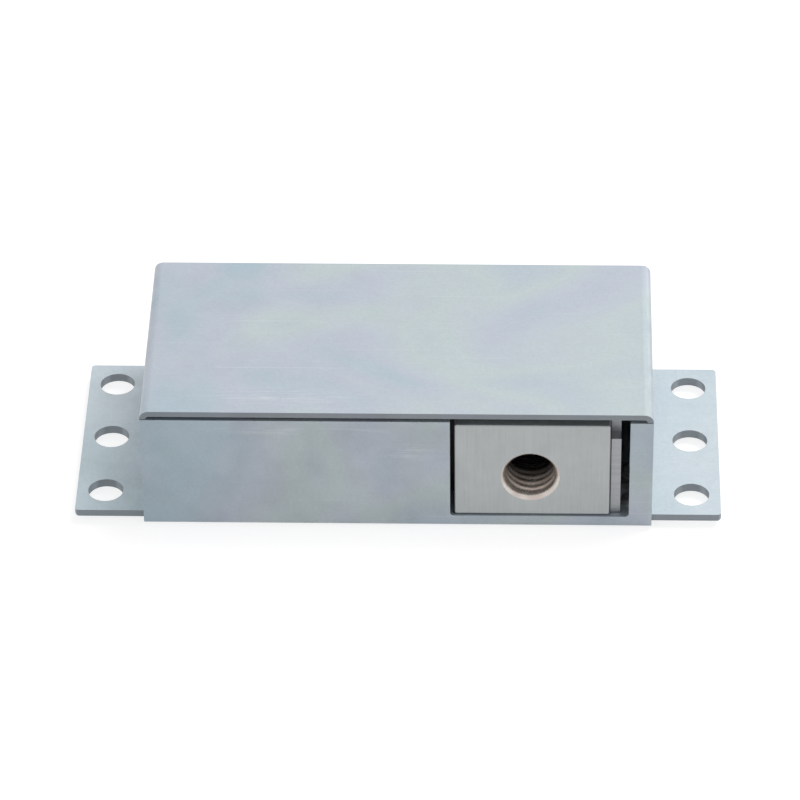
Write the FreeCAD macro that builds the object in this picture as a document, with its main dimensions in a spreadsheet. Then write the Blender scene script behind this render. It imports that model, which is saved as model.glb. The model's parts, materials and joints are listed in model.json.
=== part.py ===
"""Solenoid lock case for a safe door: a folded sheet case on a mounting plate with drilled
ears, a square bolt with a tapped end, a solenoid that blocks it, and a key override.

X runs along the case, the bolt leaves towards -Y and Z is up. The origin is the middle of
the underside. Millimetres.
"""

import FreeCAD, Part
import math
import os
import re

import Sketcher

Vector = FreeCAD.Vector
doc = FreeCAD.newDocument("safe_solenoid_lock")
sheet = doc.addObject("Spreadsheet::Sheet", "dims")

SIZES = {
    # case
    "case_length": 100.0,
    "case_depth": 50.0,
    "case_height": 28.0,
    "tray_wall": 1.0,
    "cover_wall": 1.2,
    "bend_inner": 0.6,
    "seam_gap": 0.8,
    "sheet_play": 0.1,
    "lug_width": 6.0,
    "lug_low": 8.0,
    "lug_high": 20.0,
    # mounting plate and its ears
    "plate_thickness": 1.8,
    "ear_reach": 13.7,
    "ear_corner": 0.8,
    "ear_hole_size": 7.0,
    "ear_hole_inset": 5.7,
    "ear_hole_pitch": 17.5,
    # window in the front wall
    "window_left": 10.4,
    "window_right": 45.5,
    "sill_gap": 0.1,
    "window_corner": 0.8,
    # bolt
    "bolt_left": 11.2,
    "bolt_right": 41.75,
    "bolt_lift": 0.3,
    "lip_room": 0.25,
    "back_room": 2.5,
    "bolt_recess": 0.3,
    "bolt_edge": 0.5,
    "bolt_travel": 10.0,
    "tap_size": 10.2,
    "tap_depth": 20.0,
    "tap_mouth": 11.6,
    "tap_across": 26.1,
    "tap_height": 12.5,
    "slide_play": 0.15,
    # stop pin under the bolt
    "stop_size": 4.0,
    "stop_rise": 2.6,
    "stop_across": 26.5,
    "stop_place": 5.0,
    "stop_play": 0.2,
    # guides on both sides of the bolt
    "guide_wall": 1.9,
    "guide_front": -17.0,
    "strip_room": 0.4,
    "guide_lip": 3.0,
    "guide_lip_wall": 1.4,
    "guide_foot": 4.8,
    "guide_foot_wall": 1.5,
    "guide_foot_length": 7.0,
    "guide_foot_near": -16.0,
    "guide_foot_far": 9.0,
    "strip_notch_depth": 2.4,
    "strip_notch_height": 5.35,
    # solenoid
    "pin_place": 6.0,
    "flange_room": 0.5,
    "pin_size": 6.0,
    "pin_tip": 10.6,
    "pin_length": 6.2,
    "pin_shank_size": 3.0,
    "pin_shank": 4.0,
    "pin_nose": 0.5,
    "pin_stroke": 4.5,
    "pin_play": 0.1,
    "notch_play": 0.3,
    "notch_end_play": 0.7,
    "yoke_wall": 1.5,
    "yoke_left": -25.5,
    "yoke_right": -1.0,
    "yoke_width": 17.0,
    "yoke_room": 3.6,
    "flange_margin": 0.3,
    "bobbin_flange_wall": 1.2,
    "bobbin_wall": 0.95,
    "bobbin_play": 0.1,
    "winding_depth": 2.6,
    "plunger_size": 6.4,
    "plunger_play": 0.05,
    "pole_length": 10.0,
    "pole_spigot": 4.0,
    "pole_head": 0.6,
    "air_gap": 0.1,
    "clip_place": 3.5,
    "clip_wall": 0.8,
    "clip_size": 9.4,
    "clip_seat": 5.2,
    "clip_mouth": 4.7,
    "plunger_spring_wire": 0.5,
    "plunger_spring_size": 8.5,
    "plunger_spring_turns": 2.5,
    # carriage that carries the solenoid
    "carriage_lift": 1.4,
    "carriage_wall": 1.5,
    "carriage_left": -29.5,
    "carriage_right": 3.0,
    "carriage_front": -5.0,
    "carriage_room": 1.8,
    "tab_width": 12.0,
    "tab_high": 17.0,
    "arm_left": -20.0,
    "arm_right": -8.0,
    "arm_lift": 2.15,
    "runner_size": 4.0,
    "runner_head": 7.0,
    "runner_head_wall": 1.1,
    "runner_play": 0.1,
    "runner_inset": 4.0,
    "runner_first": -24.0,
    "runner_second": -9.0,
    "runner_spare": 0.5,
    # screws and rivets
    "screw_size": 3.0,
    "screw_head": 5.2,
    "screw_head_wall": 1.6,
    "yoke_screw_first": -20.0,
    "yoke_screw_second": -7.0,
    "cover_screw_inset": 4.5,
    "cover_screw_height": 14.0,
    "cover_screw_length": 4.5,
    "rivet_size": 3.0,
    "rivet_head": 4.6,
    "rivet_head_wall": 0.9,
    "plate_rivet_end": 3.8,
    "plate_rivet_inset": 5.6,
    # key cylinder
    "key_across": -18.0,
    "key_inset": 10.5,
    "housing_size": 18.2,
    "cam_room": 9.8,
    "housing_ear_reach": 11.8,
    "housing_ear_size": 5.4,
    "housing_ear_wall": 2.0,
    "barrel_size": 14.8,
    "barrel_play": 0.05,
    "barrel_rim": 16.2,
    "barrel_face": 13.8,
    "barrel_gap": 0.1,
    "keyway_width": 13.0,
    "keyway_gap": 2.8,
    "keyway_bore": 6.0,
    "keyway_end": 2.9,
    "tang_size": 5.0,
    "cam_size": 17.0,
    "cam_wall": 1.5,
    "cam_lift": 0.15,
    "crank_reach": 5.5,
    "crank_size": 3.0,
    "crank_above": 0.6,
    "crank_slot_play": 0.3,
    "crank_rest_angle": 45.0,
    # return spring of the carriage
    "bracket_left": -48.4,
    "bracket_wall": 1.5,
    "bracket_high": 17.0,
    "bracket_foot": 7.0,
    "return_place": 6.0,
    "return_height": 11.0,
    "return_stud_size": 4.6,
    "return_stud_length": 8.9,
    "return_wire": 0.7,
    "return_turns": 5.5,
    "return_spring_size": 6.6,
    # circuit board and cable socket
    "board_left": -47.5,
    "board_right": -33.0,
    "board_room": 0.6,
    "board_depth": 16.8,
    "board_low": 6.0,
    "board_wall": 1.6,
    "post_size": 4.4,
    "post_inset": 2.4,
    "socket_width": 10.0,
    "socket_rise": 10.0,
    "socket_length": 11.7,
    "socket_inset": 0.3,
    "socket_from_front": 11.0,
    "socket_wall": 1.3,
    "socket_mouth": 10.0,
    "socket_play": 0.3,
    "contact_size": 0.5,
    "contact_pitch": 1.3,
    "chip_length": 5.0,
    "chip_width": 4.0,
    "chip_rise": 1.6,
    "chip_inset": 0.6,
}
# sizes and places that follow others, each after those that it uses
FOLLOWING = {
    "key_place": "key_inset - case_depth / 2",
    "board_front": "tray_wall + board_room - case_depth / 2",
    "board_back": "board_front + board_depth",
    "socket_place": "board_front + socket_from_front",
    "bolt_low": "tray_wall + plate_thickness + bolt_lift",
    "bolt_high": "case_height - cover_wall - lip_room - guide_lip_wall - slide_play",
    "bolt_back": "case_depth / 2 - tray_wall - back_room",
    "window_sill": "bolt_low - sill_gap",
    "guide_back": "bolt_back",
    "guide_strip_front": "tray_wall + strip_room - case_depth / 2",
    "strip_notch_low": "bolt_high + slide_play + guide_lip_wall - strip_notch_height",
    "cover_screw_place": "case_depth / 2 - cover_screw_inset",
    "plate_rivet_place": "case_depth / 2 - plate_rivet_inset",
    "plate_rivet_across": "case_length / 2 - plate_rivet_end",
    "carriage_low": "tray_wall + plate_thickness + carriage_lift",
    "carriage_back": "case_depth / 2 - tray_wall - carriage_room",
    "runner_place": "carriage_back - runner_inset",
    "bobbin_tube": "plunger_size + 2 * plunger_play + 2 * bobbin_wall",
    "coil_size": "bobbin_tube + 2 * winding_depth",
    "bobbin_flange": "coil_size + 2 * flange_margin",
    "pin_height": "carriage_low + carriage_wall + yoke_wall + flange_room + bobbin_flange / 2",
    "housing_rise": "case_height - cover_wall - tray_wall - plate_thickness - cam_room",
    "keyway_depth": "tray_wall + plate_thickness + housing_rise - barrel_gap - keyway_end",
    "arm_low": "tray_wall + plate_thickness + housing_rise + cam_lift + cam_wall + arm_lift",
}
ALIASES = {**SIZES, **FOLLOWING}
for row, (alias, content) in enumerate(ALIASES.items(), start=1):
    sheet.set(f"A{row}", alias)
    sheet.set(f"B{row}", f"={content}")
    sheet.setAlias(f"B{row}", alias)
doc.recompute()

SUB_PARTS = []
CONTACTS = 4
WIRE_SIDES = 8
LEAST_CHANGE = 1e-6
NEAR = 1e-4


def bound(text):
    """A sum of sizes in words, with the sheet's name put before each alias."""
    return re.sub(r"[a-z_]+", lambda m: "dims." + m[0] if m[0] in ALIASES else m[0], text)


def number_of(text):
    """The present value of a sum of sizes."""
    return float(sheet.evalExpression(bound(text)))


# levels and faces that several pieces share
HALF_LENGTH = "case_length / 2"
HALF_DEPTH = "case_depth / 2"
WALL_INSIDE = "(case_depth / 2 - tray_wall)"
PLATE_TOP = "(tray_wall + plate_thickness)"
COVER_UNDER = "(case_height - cover_wall)"
WALL_TOP = "(case_height - cover_wall - seam_gap)"
FLANGE_INSIDE = "(case_length / 2 - cover_wall)"
CARRIAGE_TOP = "(carriage_low + carriage_wall)"
YOKE_FLOOR = "(carriage_low + carriage_wall + yoke_wall)"
ARM_TOP = "(arm_low + carriage_wall)"
HOUSING_TOP = "(tray_wall + plate_thickness + housing_rise)"
CAM_LOW = "(tray_wall + plate_thickness + housing_rise + cam_lift)"
CAM_TOP = "(tray_wall + plate_thickness + housing_rise + cam_lift + cam_wall)"
BOARD_TOP = "(board_low + board_wall)"
CRANK_ACROSS = "(key_across + crank_reach * cos(crank_rest_angle * 1 deg))"
CRANK_PLACE = "(key_place + crank_reach * sin(crank_rest_angle * 1 deg))"
CRANK_STROKE = "(2 * crank_reach * cos(crank_rest_angle * 1 deg))"
GUIDE_LEFT_FACE = "(bolt_left - slide_play)"
GUIDE_RIGHT_FACE = "(bolt_right + slide_play)"
LIP_LOW = "(bolt_high + slide_play)"
LIP_TOP = "(bolt_high + slide_play + guide_lip_wall)"

NORMALS = {"XY_Plane": 1, "XZ_Plane": -1, "YZ_Plane": 1}


def keep(piece, label):
    """Names a finished sub-part and puts it on the list of files to write."""
    piece.Label = label
    SUB_PARTS.append(piece)
    return piece


def new_body(name):
    return doc.addObject("PartDesign::Body", name)


def new_sketch(body, plane, level):
    """A sketch on one of the body's own planes, at a level along that plane's axis."""
    sketch = body.newObject("Sketcher::SketchObject", body.Name + "_sketch")
    origin = next(o for o in body.Origin.OriginFeatures if o.Role == plane)
    sketch.AttachmentSupport = [(origin, "")]
    sketch.MapMode = "FlatFace"
    sign = "" if NORMALS[plane] > 0 else "-"
    sketch.setExpression("AttachmentOffset.Base.z", bound(f"{sign}({level})"))
    return sketch


def fix_point(sketch, geometry, point, across, up):
    """Ties one point of a sketch to sizes of the sheet."""
    for kind, text in (("DistanceX", across), ("DistanceY", up)):
        place = Sketcher.Constraint(kind, -1, 1, geometry, point, number_of(text))
        index = sketch.addConstraint(place)
        sketch.setExpression(f"Constraints[{index}]", bound(text))


def draw_outline(sketch, points):
    """A closed outline of straight lines through points given as pairs of words."""
    places = [Vector(number_of(a), number_of(b), 0) for a, b in points]
    first = sketch.GeometryCount
    count = len(points)
    for i in range(count):
        sketch.addGeometry(Part.LineSegment(places[i], places[(i + 1) % count]))
    for i in range(count):
        after = first + (i + 1) % count
        sketch.addConstraint(Sketcher.Constraint("Coincident", first + i, 2, after, 1))
    for i, (across, up) in enumerate(points):
        fix_point(sketch, first + i, 1, across, up)


def draw_rectangle(sketch, left, right, low, high):
    draw_outline(sketch, [(left, low), (right, low), (right, high), (left, high)])


def draw_circle(sketch, across, up, diameter):
    middle = Vector(number_of(across), number_of(up), 0)
    radius = number_of(diameter) / 2
    index = sketch.addGeometry(Part.Circle(middle, Vector(0, 0, 1), radius))
    fix_point(sketch, index, 3, across, up)
    rule = sketch.addConstraint(Sketcher.Constraint("Diameter", index, 2 * radius))
    sketch.setExpression(f"Constraints[{rule}]", bound(diameter))


def draw_slot(sketch, start, end, width):
    """A slot with round ends, from one end's centre to the other's, along X or Y."""
    centres = [Vector(number_of(a), number_of(b), 0) for a, b in (start, end)]
    radius = number_of(width) / 2
    along = (centres[1] - centres[0]).normalize()
    heading = math.atan2(along.y, along.x)
    side = Vector(-along.y, along.x, 0) * radius
    quarter = math.pi / 2
    first = sketch.GeometryCount
    for centre, turn in zip(centres, (quarter, -quarter)):
        round_end = Part.Circle(centre, Vector(0, 0, 1), radius)
        sketch.addGeometry(
            Part.ArcOfCircle(round_end, heading + turn, heading + turn + math.pi)
        )
    sketch.addGeometry(Part.LineSegment(centres[0] - side, centres[1] - side))
    sketch.addGeometry(Part.LineSegment(centres[1] + side, centres[0] + side))
    joins = ((0, 2, 2, 1), (2, 2, 1, 1), (1, 2, 3, 1), (3, 2, 0, 1))
    for one, one_end, other, other_end in joins:
        tie = ("Tangent", first + one, one_end, first + other, other_end)
        sketch.addConstraint(Sketcher.Constraint(*tie))
    for index, (across, up) in enumerate((start, end)):
        fix_point(sketch, first + index, 3, across, up)
    rule = sketch.addConstraint(Sketcher.Constraint("Radius", first, radius))
    sketch.setExpression(f"Constraints[{rule}]", bound(f"({width}) / 2"))


def pad(body, plane, low, high, draw, *rest):
    """Adds what a drawing function draws, from one level of the plane's axis to another."""
    start = low if NORMALS[plane] > 0 else high
    sketch = new_sketch(body, plane, start)
    draw(sketch, *rest)
    feature = body.newObject("PartDesign::Pad", body.Name + "_pad")
    feature.Profile = sketch
    feature.setExpression("Length", bound(f"({high}) - ({low})"))
    doc.recompute()
    return feature


def pocket(body, plane, low, high, draw, *rest):
    """Takes away what a drawing function draws, and makes sure that something went."""
    before = body.Shape.Volume
    start = low if NORMALS[plane] > 0 else high
    sketch = new_sketch(body, plane, start)
    draw(sketch, *rest)
    feature = body.newObject("PartDesign::Pocket", body.Name + "_pocket")
    feature.Profile = sketch
    feature.Reversed = True
    feature.setExpression("Length", bound(f"({high}) - ({low})"))
    doc.recompute()
    if body.Shape.Volume > before - LEAST_CHANGE:
        raise RuntimeError(f"{feature.Name} cuts nothing")
    return feature


def find_edges(body, test):
    names = [f"Edge{i}" for i, edge in enumerate(body.Shape.Edges, start=1) if test(edge)]
    if not names:
        raise RuntimeError(f"no edge found on {body.Name}")
    return names


def runs_along(edge, axis):
    """Whether an edge is straight and parallel to an axis."""
    run = edge.Vertexes[-1].Point - edge.Vertexes[0].Point
    return run.Length > NEAR and abs(abs(run.dot(axis)) - edge.Length) < NEAR


def is_ring(edge, axis, level, diameter):
    """Whether an edge is a circle of a diameter, square to an axis at a level."""
    round_trip = edge.Closed and abs(edge.Length - math.pi * diameter) < NEAR
    return round_trip and abs(edge.CenterOfMass.dot(axis) - level) < NEAR


def dress(body, kind, size, test):
    """A fillet or a chamfer on the edges that pass a test."""
    base = (body.Tip, find_edges(body, test))
    feature = body.newObject("PartDesign::" + kind, body.Name + "_" + kind.lower())
    feature.Base = base
    feature.setExpression("Radius" if kind == "Fillet" else "Size", bound(size))
    doc.recompute()
    return feature


def turned(name, axis, across, level, profile):
    """A turned solid on an axis along X or Z.

    across and level place the axis: Y and Z for an axis along X, X and Y for one along Z.
    The profile is a list of pairs: the place along the axis and the radius.
    """
    body = new_body(name)
    if axis == "X":
        sketch = new_sketch(body, "XY_Plane", level)
        points = [(along, f"({across}) + ({radius})") for along, radius in profile]
        ends = [(profile[0][0], across), (profile[-1][0], across)]
    else:
        sketch = new_sketch(body, "XZ_Plane", level)
        points = [(f"({across}) + ({radius})", along) for along, radius in profile]
        ends = [(across, profile[0][0]), (across, profile[-1][0])]
    draw_outline(sketch, points)
    places = [Vector(number_of(a), number_of(b), 0) for a, b in ends]
    line = sketch.addGeometry(Part.LineSegment(*places), True)
    for end, (a, b) in enumerate(ends, start=1):
        fix_point(sketch, line, end, a, b)
    feature = body.newObject("PartDesign::Revolution", name + "_turn")
    feature.Profile = sketch
    feature.ReferenceAxis = (sketch, ["Axis0"])
    feature.Angle = 360.0
    doc.recompute()
    return body


def group(label, pieces):
    """Separate like solids that share one sub-part."""
    compound = doc.addObject("Part::Compound", label)
    compound.Links = pieces
    return keep(compound, label)


def signed(sign, text):
    return f"({text})" if sign > 0 else f"-({text})"


# places that several pieces share
SIDES = (-1, 1)
PLATE_RIVETS = [
    (signed(sx, "plate_rivet_across"), signed(sy, "plate_rivet_place"))
    for sx in SIDES
    for sy in SIDES
]
GUIDE_FEET = ["guide_foot_near", "guide_foot_far"]
LEFT_FOOT_RIVET = f"{GUIDE_LEFT_FACE} - guide_wall - guide_foot / 2"
RIGHT_FOOT_RIVET = f"{GUIDE_RIGHT_FACE} + guide_wall + guide_foot / 2"
GUIDE_RIVETS = [
    (across, f"{foot} + guide_foot_length / 2")
    for across in (LEFT_FOOT_RIVET, RIGHT_FOOT_RIVET)
    for foot in GUIDE_FEET
]
BRACKET_RIVETS = [
    ("bracket_left + bracket_wall + bracket_foot / 2", f"return_place + {s} * tab_width / 4")
    for s in SIDES
]
RUNNERS = [("runner_first", "runner_place"), ("runner_second", "runner_place")]
HOUSING_SCREWS = [(f"key_across + {s} * housing_ear_reach", "key_place") for s in SIDES]
BOARD_POSTS = [
    ("board_right - post_inset", "board_front + post_inset"),
    ("board_right - post_inset", "board_back - post_inset"),
]
YOKE_SCREWS = [("yoke_screw_first", "pin_place"), ("yoke_screw_second", "pin_place")]
COVER_SCREWS = [(sx, signed(sy, "cover_screw_place")) for sx in SIDES for sy in SIDES]


def make_tray():
    """The lower channel: floor, front wall with the bolt's window, back wall, four lugs."""
    body = new_body("tray")
    channel = [
        (f"-{HALF_DEPTH}", "0"),
        (HALF_DEPTH, "0"),
        (HALF_DEPTH, WALL_TOP),
        (WALL_INSIDE, WALL_TOP),
        (WALL_INSIDE, "tray_wall"),
        (f"-{WALL_INSIDE}", "tray_wall"),
        (f"-{WALL_INSIDE}", WALL_TOP),
        (f"-{HALF_DEPTH}", WALL_TOP),
    ]
    pad(body, "YZ_Plane", f"-{HALF_LENGTH}", HALF_LENGTH, draw_outline, channel)
    along = Vector(1, 0, 0)
    outer = number_of(HALF_DEPTH)
    wall = number_of("tray_wall")

    def bends_outside(edge):
        middle = edge.CenterOfMass
        return runs_along(edge, along) and middle.z < NEAR and abs(middle.y) > outer - NEAR

    def bends_inside(edge):
        middle = edge.CenterOfMass
        level = abs(middle.z - wall) < NEAR
        return runs_along(edge, along) and level and abs(abs(middle.y) - outer + wall) < NEAR

    dress(body, "Fillet", "bend_inner + tray_wall", bends_outside)
    dress(body, "Fillet", "bend_inner", bends_inside)
    lug_face = "(case_length / 2 - cover_wall - sheet_play)"
    for sx in SIDES:
        faces = [signed(sx, lug_face), signed(sx, f"{lug_face} - tray_wall")]
        low, high = faces[::sx][::-1]
        for sy in SIDES:
            sides = [signed(sy, WALL_INSIDE), signed(sy, f"{WALL_INSIDE} - lug_width")]
            near, far = sides[::sy][::-1]
            pad(body, "YZ_Plane", low, high, draw_rectangle, near, far, "lug_low", "lug_high")
            place = signed(sy, "cover_screw_place")
            hole = (place, "cover_screw_height", "screw_size")
            pocket(body, "YZ_Plane", low, high, draw_circle, *hole)
    window = ("window_left", "window_right", "window_sill", WALL_TOP)
    pocket(body, "XZ_Plane", f"-{HALF_DEPTH}", f"-{WALL_INSIDE}", draw_rectangle, *window)
    sill = number_of("window_sill")

    def window_corners(edge):
        low = abs(edge.CenterOfMass.z - sill) < NEAR
        return runs_along(edge, Vector(0, 1, 0)) and low

    dress(body, "Fillet", "window_corner", window_corners)
    face = ("key_across", "key_place", "barrel_face + 2 * barrel_gap")
    pocket(body, "XY_Plane", "0", "tray_wall", draw_circle, *face)
    for across, place in PLATE_RIVETS:
        pocket(body, "XY_Plane", "0", "tray_wall", draw_circle, across, place, "rivet_size")
    return keep(body, "case_tray")


def make_plate():
    """The thick plate in the channel, whose drilled ends stand out as mounting ears."""
    body = new_body("plate")
    reach = f"({HALF_LENGTH} + ear_reach)"
    edge = f"({WALL_INSIDE} - sheet_play)"
    levels = ("tray_wall", PLATE_TOP)
    pad(body, "XY_Plane", *levels, draw_rectangle, f"-{reach}", reach, f"-{edge}", edge)
    dress(body, "Fillet", "ear_corner", lambda e: runs_along(e, Vector(0, 0, 1)))
    floor = number_of("tray_wall")

    def lower_edges(edge):
        return runs_along(edge, Vector(1, 0, 0)) and abs(edge.CenterOfMass.z - floor) < NEAR

    dress(body, "Fillet", "bend_inner", lower_edges)
    ear = f"({reach} - ear_hole_inset)"
    for side in SIDES:
        for step in (-1, 0, 1):
            hole = (signed(side, ear), f"{step} * ear_hole_pitch", "ear_hole_size")
            pocket(body, "XY_Plane", *levels, draw_circle, *hole)
    rim = ("key_across", "key_place", "barrel_rim + 2 * barrel_gap")
    pocket(body, "XY_Plane", *levels, draw_circle, *rim)
    riveted = PLATE_RIVETS + GUIDE_RIVETS + BRACKET_RIVETS + RUNNERS + BOARD_POSTS
    for across, place in riveted + [("stop_across", "stop_place")]:
        pocket(body, "XY_Plane", *levels, draw_circle, across, place, "rivet_size")
    for across, place in HOUSING_SCREWS:
        pocket(body, "XY_Plane", *levels, draw_circle, across, place, "screw_size")
    return keep(body, "mounting_plate")


def make_cover():
    """The upper channel: roof and two end flanges, which drop between the tray's walls."""
    body = new_body("lid")
    low = f"({PLATE_TOP} + sheet_play)"
    profile = [
        (f"-{HALF_LENGTH}", low),
        (f"-{FLANGE_INSIDE}", low),
        (f"-{FLANGE_INSIDE}", COVER_UNDER),
        (FLANGE_INSIDE, COVER_UNDER),
        (FLANGE_INSIDE, low),
        (HALF_LENGTH, low),
        (HALF_LENGTH, "case_height"),
        (f"-{HALF_LENGTH}", "case_height"),
    ]
    pad(body, "XZ_Plane", f"-{HALF_DEPTH}", HALF_DEPTH, draw_outline, profile)
    half = number_of(HALF_LENGTH)
    top = number_of("case_height")
    wall = number_of("cover_wall")

    def bends_outside(edge):
        middle = edge.CenterOfMass
        return runs_along(edge, Vector(0, 1, 0)) and middle.z > top - NEAR

    def bends_inside(edge):
        middle = edge.CenterOfMass
        level = abs(middle.z - top + wall) < NEAR
        return runs_along(edge, Vector(0, 1, 0)) and level and abs(middle.x) < half

    dress(body, "Fillet", "bend_inner + cover_wall", bends_outside)
    dress(body, "Fillet", "bend_inner", bends_inside)
    relief = f"({COVER_UNDER} - bend_inner)"
    edge = f"({WALL_INSIDE} - sheet_play)"
    for sign in SIDES:
        ends = [signed(sign, HALF_DEPTH), signed(sign, edge)]
        near, far = ends[::sign][::-1]
        across = (f"-{HALF_LENGTH}", HALF_LENGTH)
        pocket(body, "XZ_Plane", near, far, draw_rectangle, *across, low, relief)
    for side, place in COVER_SCREWS:
        faces = [signed(side, HALF_LENGTH), signed(side, FLANGE_INSIDE)]
        near, far = faces[::side][::-1]
        hole = (place, "cover_screw_height", "screw_size")
        pocket(body, "YZ_Plane", near, far, draw_circle, *hole)
    screw = number_of("screw_size")

    def hole_mouths(edge):
        along = Vector(1, 0, 0)
        return is_ring(edge, along, half, screw) or is_ring(edge, along, -half, screw)

    dress(body, "Chamfer", "(screw_head - screw_size) / 2", hole_mouths)
    opening = (
        "socket_place - socket_width / 2 - socket_play",
        "socket_place + socket_width / 2 + socket_play",
        f"{BOARD_TOP} - socket_play",
        f"{BOARD_TOP} + socket_rise + socket_play",
    )
    ends = (f"-{HALF_LENGTH}", f"-{FLANGE_INSIDE}")
    pocket(body, "YZ_Plane", *ends, draw_rectangle, *opening)
    return keep(body, "cover")


def make_bolt():
    """The square bolt: tapped end, two notches for the locking pin, slot for the stop pin."""
    body = new_body("square_bolt")
    face = f"(bolt_recess - {HALF_DEPTH})"
    section = ("bolt_left", "bolt_right", "bolt_low", "bolt_high")
    pad(body, "XZ_Plane", face, "bolt_back", draw_rectangle, *section)
    front = number_of(face)

    def outer_edges(edge):
        on_face = abs(edge.CenterOfMass.y - front) < NEAR
        return on_face or runs_along(edge, Vector(0, 1, 0))

    dress(body, "Fillet", "bolt_edge", outer_edges)
    centre = ("tap_across", "tap_height")
    pocket(body, "XZ_Plane", face, f"{face} + tap_depth", draw_circle, *centre, "tap_size")
    tap = number_of("tap_size")

    def mouth(edge):
        return is_ring(edge, Vector(0, 1, 0), front, tap)

    dress(body, "Chamfer", "(tap_mouth - tap_size) / 2", mouth)
    depth = ("bolt_left", "pin_tip + pin_stroke + notch_end_play")
    for place in ("pin_place", "pin_place + bolt_travel"):
        notch = (place, "pin_height", "pin_size + 2 * notch_play")
        pocket(body, "YZ_Plane", *depth, draw_circle, *notch)
    track = (
        ("stop_across", "stop_place"),
        ("stop_across", "stop_place + bolt_travel"),
        "stop_size + 2 * stop_play",
    )
    levels = ("bolt_low", f"{PLATE_TOP} + stop_rise + stop_play")
    pocket(body, "XY_Plane", *levels, draw_slot, *track)
    return keep(body, "bolt")


def make_guide(side, label):
    """A folded guide: upright wall, lip over the bolt and two riveted feet."""
    body = new_body("guide_left" if side < 0 else "guide_right")
    face = GUIDE_LEFT_FACE if side < 0 else GUIDE_RIGHT_FACE
    front = "guide_front" if side < 0 else "guide_strip_front"

    def span(start, end):
        """Two places outwards from the face that the bolt slides on, lower X first."""
        places = [f"{face} + {side} * ({start})", f"{face} + {side} * ({end})"]
        return places[::side]

    upright = span("0", "guide_wall")
    pad(body, "XZ_Plane", front, "guide_back", draw_rectangle, *upright, PLATE_TOP, LIP_TOP)
    lip = span("0 - guide_lip", "guide_wall")
    edges = ("guide_front", "guide_back")
    pad(body, "XZ_Plane", *edges, draw_rectangle, *lip, LIP_LOW, LIP_TOP)
    foot = span("0", "guide_wall + guide_foot")
    foot_top = f"{PLATE_TOP} + guide_foot_wall"
    middle = LEFT_FOOT_RIVET if side < 0 else RIGHT_FOOT_RIVET
    for near in GUIDE_FEET:
        outline = (*foot, near, f"{near} + guide_foot_length")
        pad(body, "XY_Plane", PLATE_TOP, foot_top, draw_rectangle, *outline)
        hole = (middle, f"{near} + guide_foot_length / 2", "rivet_size")
        pocket(body, "XY_Plane", PLATE_TOP, foot_top, draw_circle, *hole)
    if side < 0:
        hole = ("pin_place", "pin_height", "pin_size + 2 * pin_play")
        pocket(body, "YZ_Plane", *upright, draw_circle, *hole)
    else:
        corner = (front, f"{front} + strip_notch_depth", "strip_notch_low", LIP_TOP)
        pocket(body, "YZ_Plane", *upright, draw_rectangle, *corner)
    return keep(body, label)


def rivet(name, place, top):
    """A rivet in the plate: shank from the plate's underside and a low head on top."""
    head = "rivet_head / 2"
    profile = [
        ("tray_wall", "0"),
        ("tray_wall", "rivet_size / 2"),
        (top, "rivet_size / 2"),
        (top, head),
        (f"{top} + rivet_head_wall / 2", head),
        (f"{top} + rivet_head_wall", "rivet_size / 2"),
        (f"{top} + rivet_head_wall", "0"),
    ]
    return turned(name, "Z", place[0], place[1], profile)


def make_plate_rivets():
    """Four rivets that hold the plate to the tray, flush underneath."""
    pieces = []
    for place in PLATE_RIVETS:
        profile = [
            ("0", "0"),
            ("0", "rivet_size / 2"),
            (PLATE_TOP, "rivet_size / 2"),
            (PLATE_TOP, "rivet_head / 2"),
            (f"{PLATE_TOP} + rivet_head_wall / 2", "rivet_head / 2"),
            (f"{PLATE_TOP} + rivet_head_wall", "rivet_size / 2"),
            (f"{PLATE_TOP} + rivet_head_wall", "0"),
        ]
        pieces.append(turned("plate_rivet", "Z", *place, profile))
    return group("plate_rivets", pieces)


def make_guide_rivets():
    top = f"({PLATE_TOP} + guide_foot_wall)"
    return group("guide_rivets", [rivet("guide_rivet", p, top) for p in GUIDE_RIVETS])


def make_bracket_rivets():
    top = f"({PLATE_TOP} + bracket_wall)"
    return group("bracket_rivets", [rivet("bracket_rivet", p, top) for p in BRACKET_RIVETS])


def make_stop_pin():
    """The pin in the plate that stops the bolt at both ends of its travel."""
    profile = [
        ("tray_wall", "0"),
        ("tray_wall", "rivet_size / 2"),
        (PLATE_TOP, "rivet_size / 2"),
        (PLATE_TOP, "stop_size / 2"),
        (f"{PLATE_TOP} + stop_rise", "stop_size / 2"),
        (f"{PLATE_TOP} + stop_rise", "0"),
    ]
    return keep(turned("stop", "Z", "stop_across", "stop_place", profile), "bolt_stop_pin")


def make_runners():
    """Two shouldered rivets: the carriage slides on their shoulders and under their heads."""
    neck_top = f"({CARRIAGE_TOP} + runner_play)"
    pieces = []
    for place in RUNNERS:
        profile = [
            ("tray_wall", "0"),
            ("tray_wall", "rivet_size / 2"),
            (PLATE_TOP, "rivet_size / 2"),
            (PLATE_TOP, "runner_head / 2"),
            ("carriage_low - runner_play", "runner_head / 2"),
            ("carriage_low - runner_play", "runner_size / 2"),
            (neck_top, "runner_size / 2"),
            (neck_top, "runner_head / 2"),
            (f"{neck_top} + runner_head_wall", "runner_head / 2"),
            (f"{neck_top} + runner_head_wall", "0"),
        ]
        pieces.append(turned("runner", "Z", *place, profile))
    return group("carriage_runners", pieces)


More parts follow.
